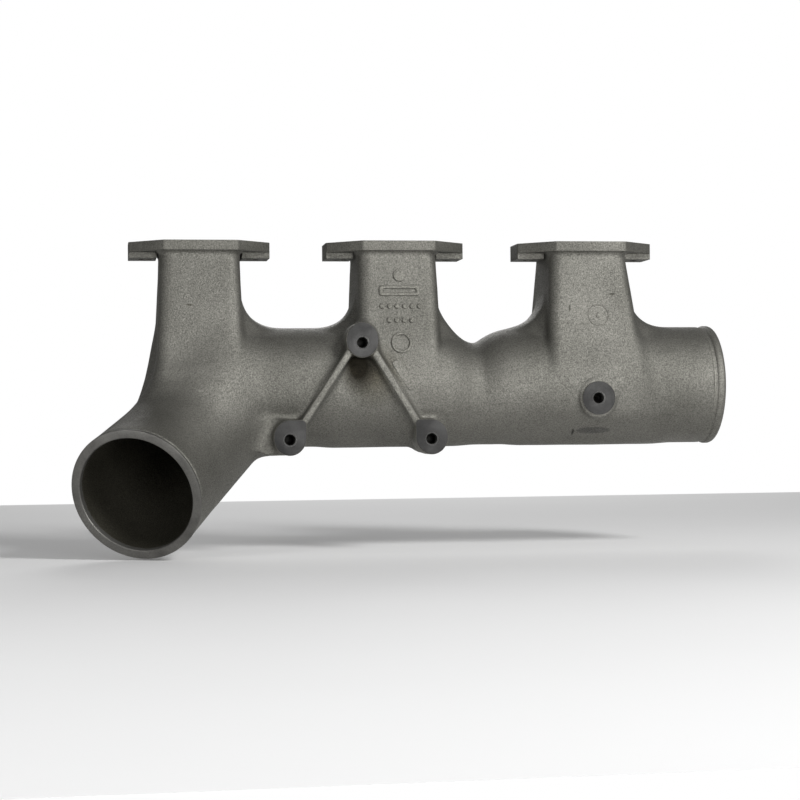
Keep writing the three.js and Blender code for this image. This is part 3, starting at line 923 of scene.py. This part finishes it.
def turned_cutter(hole, plane, seat):
    """A countersunk hole with ringed grooves like a thread's, as a solid to cut away."""
    profile = [(-1.0, TAP_RADIUS + 1.9), (1.2, TAP_RADIUS + 0.1)]
    depth = 1.5
    while depth < seat - 1.5:
        profile.append((depth, TAP_RADIUS + 0.25))
        profile.append((depth + 0.55, TAP_RADIUS - 0.35))
        depth += 1.1
    profile.append((seat, TAP_RADIUS - 0.35))
    bm = bmesh.new()
    steps = 40
    rings = []
    for along, radius in profile:
        ring = []
        for i in range(steps):
            angle = 2 * math.pi * i / steps
            x = hole[0] + radius * math.cos(angle)
            z = hole[1] + radius * math.sin(angle)
            ring.append(bm.verts.new(Vector((x, plane + along, z)) * MM))
        rings.append(ring)
    for a, b in zip(rings[:-1], rings[1:]):
        for i in range(steps):
            j = (i + 1) % steps
            bm.faces.new([a[i], a[j], b[j], b[i]])
    bm.faces.new(rings[0])
    tip = bm.verts.new(Vector((hole[0], plane + seat + 2.2, hole[1])) * MM)
    for i in range(steps):
        bm.faces.new([rings[-1][i], rings[-1][(i + 1) % steps], tip])
    bmesh.ops.recalc_face_normals(bm, faces=bm.faces)
    return bm


for name, boss in BOSSES.items():
    outline = boss_outline(boss["hole"], boss["lift"], boss["corner"], BOSS_RADIUS)
    boss_piece(name, outline, boss["hole"], PAD_PLANE, PAD_PLANE + 22, 15.0)
probe_outline = circle(*PROBE["hole"], PROBE["radius"], 72)
boss_piece("probe_boss", probe_outline, PROBE["hole"], PROBE["plane"], PROBE["plane"] + 12, 10.5)

for name in LOWER_BOSSES:
    start, end = rib_line(name)
    along = (end - start) / np.linalg.norm(end - start)
    across = np.array([-along[1], along[0]]) * (RIB_WIDTH / 2)
    outline = [tuple(p) for p in (start + across, start - across, end - across, end + across)]
    node = name.replace("boss", "rib")
    piece = object_from(node + "_cast", prism(outline, PAD_PLANE + RIB_SETBACK, RIB_BACK, axis="y"), CAST)
    soften(piece, 1.7, 5)
    finish_piece(piece, "cast_iron", node)

# ------------------------------------------------------------------ raised marks


def surface_y(x, z):
    hit = SURFACE.ray_cast(Vector((x, -200, z)) * MM, Vector((0, 1, 0)))[0]
    return hit.y / MM


def raised_mark(name, outline, hole=None, height=1.3):
    """A plain raised shape that follows the casting's front, such as a bar, a dot or a ring."""
    bm = bmesh.new()
    edges = [outline] if hole is None else [outline, hole]
    tops, roots = [], []
    for ring in edges:
        top, root = [], []
        for x, z in ring:
            y = surface_y(x, z)
            top.append(bm.verts.new(Vector((x, y - height, z)) * MM))
            root.append(bm.verts.new(Vector((x, y + 1.2, z)) * MM))
        tops.append(top)
        roots.append(root)
        for i in range(len(ring)):
            j = (i + 1) % len(ring)
            bm.faces.new([top[i], top[j], root[j], root[i]])
    if hole is None:
        bm.faces.new(tops[0])
    else:
        for i in range(len(outline)):
            j = (i + 1) % len(outline)
            bm.faces.new([tops[0][i], tops[0][j], tops[1][j], tops[1][i]])
    bmesh.ops.recalc_face_normals(bm, faces=bm.faces)
    piece = object_from(name, bm, MARK)
    soften(piece, 0.45, 3, 40.0)
    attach(piece, "root")


def bar(x0, x1, z0, z1, radius):
    return rounded([(x0, z0), (x1, z0), (x1, z1), (x0, z1)], radius, 4)


DOT_PITCH = 5.9
RING_AT = (-0.6, -80.5)
STRIP_AT, STRIP_SLANT, STRIP_SIZE = (0.2, -105.5), math.radians(-58), (13, 3.4)
ROUND_AT = (158.6, -59.2)


def slanted_strip():
    along = np.array([math.cos(STRIP_SLANT), math.sin(STRIP_SLANT)])
    across = np.array([-along[1], along[0]])
    return [
        tuple(np.array(STRIP_AT) + along * a * STRIP_SIZE[0] + across * b * STRIP_SIZE[1])
        for a, b in ((-1, -1), (1, -1), (1, 1), (-1, 1))
    ]


raised_mark("mark_disc", circle(0, -27, 5.0, 24))
raised_mark("mark_bar", bar(-16.5, 15.5, -43.4, -35.2, 2.0), bar(-13.7, 12.7, -40.8, -37.8, 1.2))
for i in range(6):
    raised_mark(f"mark_dot_{i + 1}", circle(-14.6 + DOT_PITCH * i, -51.7, 2.0, 16))
for i in range(4):
    raised_mark(f"mark_dot_{i + 7}", circle(-9.4 + DOT_PITCH * i, -62.8, 2.0, 16))
raised_mark("mark_ring", circle(*RING_AT, 8.2, 32), circle(*RING_AT, 6.2, 32))
raised_mark("mark_strip", rounded(slanted_strip(), 1.8, 4), height=1.2)
raised_mark("mark_round", circle(*ROUND_AT, 8.8, 40), circle(*ROUND_AT, 7.7, 40), 0.5)
raised_mark("mark_round_dot", circle(*ROUND_AT, 2.2, 20), height=0.5)

# ------------------------------------------------------------------ floor, light and camera


def floor():
    bm = bmesh.new()
    bottom = node_box("elbow_tube")[0][2]
    bottom = min(bottom, node_box("elbow_rim")[0][2]) * MM - 0.001
    corners = [(-1.2, -1.0), (1.2, -1.0), (1.2, 1.0), (-1.2, 1.0)]
    bm.faces.new([bm.verts.new((x, y, bottom)) for x, y in corners])
    m = Nodes("floor")
    m.link(m.ramp(m.noise(3.0), [(0.3, 0.87), (0.7, 0.89)]), m.shader.inputs["Base Color"])
    m.shader.inputs["Roughness"].default_value = 0.9
    piece = object_from("floor", bm, m.material)


def soft_light(name, place, aim, width, power):
    light = bpy.data.lights.new(name, "AREA")
    light.shape = "DISK"
    light.size = width
    light.energy = power
    lamp = bpy.data.objects.new(name, light)
    lamp.location = place
    lamp.rotation_euler = (Vector(aim) - Vector(place)).to_track_quat("-Z", "Y").to_euler()
    bpy.context.collection.objects.link(lamp)


def show_white(tree, dim):
    """The backdrop is plain white where it is looked at, and lights the object dimly."""
    white = tree.nodes.new("ShaderNodeBackground")
    white.inputs["Color"].default_value = (1, 1, 1, 1)
    mix = tree.nodes.new("ShaderNodeMixShader")
    seen = tree.nodes.new("ShaderNodeLightPath")
    tree.links.new(seen.outputs["Is Camera Ray"], mix.inputs[0])
    tree.links.new(dim.outputs[0], mix.inputs[1])
    tree.links.new(white.outputs[0], mix.inputs[2])
    tree.links.new(mix.outputs[0], tree.nodes["World Output"].inputs["Surface"])


def studio():
    floor()
    middle = (0, 0, -0.12)
    soft_light("key_right", (0.95, -1.4, 0.95), middle, 0.6, 26)
    soft_light("key_left", (-1.2, -1.3, 0.1), middle, 0.6, 8)
    soft_light("front", (0.45, -2.0, -0.2), middle, 0.9, 25)
    soft_light("back", (0.2, 2.0, 0.9), middle, 1.2, 14)
    world = bpy.data.worlds.new("studio")
    world.use_nodes = True
    background = world.node_tree.nodes["Background"]
    background.inputs["Color"].default_value = (1, 1, 1, 1)
    background.inputs["Strength"].default_value = 0.16
    show_white(world.node_tree, background)
    bpy.context.scene.world = world


CAMERA_PLACE = (-0.23418571, -1.53177997, -0.14340756)
CAMERA_YAW, CAMERA_PITCH, CAMERA_ROLL = 0.155, 0.012, 0.0105  # right, up and clockwise, in radians


def camera():
    data = bpy.data.cameras.new("camera")
    data.sensor_width = 36
    data.lens = 86.85
    data.clip_start = 0.05
    data.clip_end = 50
    view = bpy.data.objects.new("camera", data)
    yaw = Matrix.Rotation(-CAMERA_YAW, 4, "Z")
    pitch = Matrix.Rotation(math.pi / 2 + CAMERA_PITCH, 4, "X")
    roll = Matrix.Rotation(-CAMERA_ROLL, 4, "Z")
    view.matrix_world = Matrix.Translation(CAMERA_PLACE) @ yaw @ pitch @ roll
    bpy.context.collection.objects.link(view)
    bpy.context.scene.camera = view


studio()
camera()
bpy.context.scene.view_settings.view_transform = "Standard"
